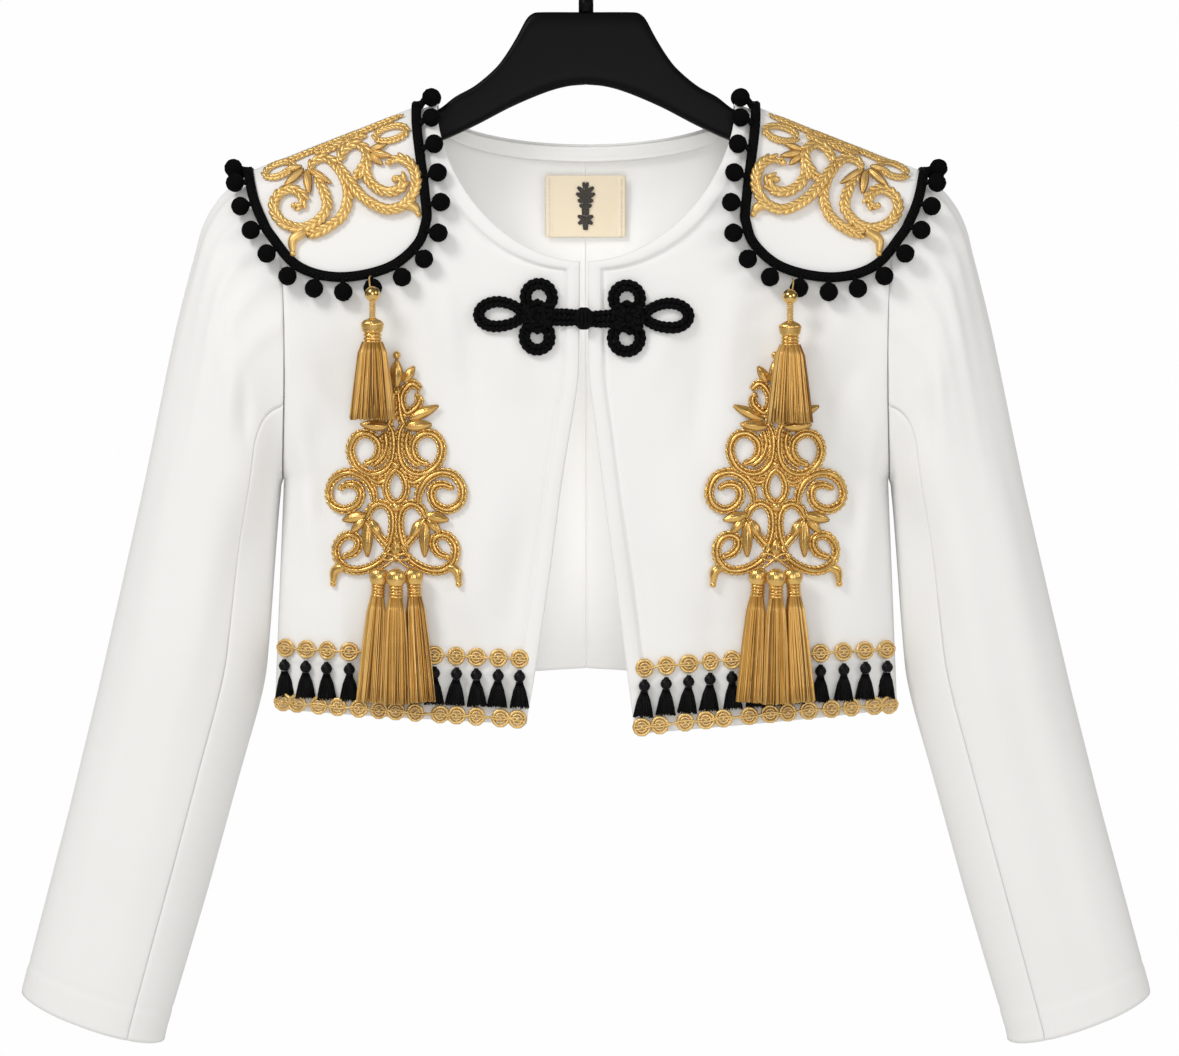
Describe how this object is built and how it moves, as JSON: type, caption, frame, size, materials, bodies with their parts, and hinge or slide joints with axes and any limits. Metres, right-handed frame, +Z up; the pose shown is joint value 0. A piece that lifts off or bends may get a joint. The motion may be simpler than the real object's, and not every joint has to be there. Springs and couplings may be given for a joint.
{
  "type": "matador jacket on hanger",
  "caption": "Cropped white matador-style jacket with gold corded scrollwork, tassels, pompom-edged epaulettes and a frog closure, on a plain hanger",
  "frame": {"origin": "the point under the hanger hook's bend that bears on the rail", "axes": "+Z up, +X to the right of someone facing the jacket's front, the front faces -Y"},
  "size_m": [0.8124, 0.1333, 0.8093],
  "materials": {
    "cloth_white": "white crepe weave, soft, matt",
    "facing_cream": "off-white cloth in the shade of the neckline",
    "black_cord": "black cotton cord, wool pompoms and silky tassels",
    "gold_thread": "satin gold gimp and rayon thread",
    "gold_bead": "polished gold-coloured bead",
    "label_cloth": "cream woven label",
    "hanger_plastic": "black satin plastic"
  },
  "bodies": {
    "root": {"back_left": "cloth_white", "back_neck_facing": "facing_cream", "back_right": "cloth_white", "black_tassel_fringe_left": "black_cord", "black_tassel_fringe_right": "black_cord", "epaulette_bead_left": "gold_bead", "epaulette_bead_right": "gold_bead", "epaulette_left": "cloth_white", "epaulette_right": "cloth_white", "epaulette_scroll_back_left": "gold_thread", "epaulette_scroll_back_right": "gold_thread", "epaulette_scroll_front_left": "gold_thread", "epaulette_scroll_front_right": "gold_thread", "epaulette_tassel_left": "gold_thread", "epaulette_tassel_right": "gold_thread", "frog_ball": "black_cord", "frog_left": "black_cord", "frog_right": "black_cord", "front_left": "cloth_white", "front_right": "cloth_white", "hanger_body": "hanger_plastic", "hanger_hook": "hanger_plastic", "label": "label_cloth", "long_tassel_inner_left": "gold_thread", "long_tassel_inner_right": "gold_thread", "long_tassel_middle_left": "gold_thread", "long_tassel_middle_right": "gold_thread", "long_tassel_outer_left": "gold_thread", "long_tassel_outer_right": "gold_thread", "pompom_braid_left": "black_cord", "pompom_braid_right": "black_cord", "rosette_braid_lower_left": "gold_thread", "rosette_braid_lower_right": "gold_thread", "rosette_braid_upper_left": "gold_thread", "rosette_braid_upper_right": "gold_thread", "scroll_motif_left": "gold_thread", "scroll_motif_right": "gold_thread", "sleeve_top_left": "cloth_white", "sleeve_top_right": "cloth_white", "sleeve_under_left": "cloth_white", "sleeve_under_right": "cloth_white"}
  },
  "joints": []
}
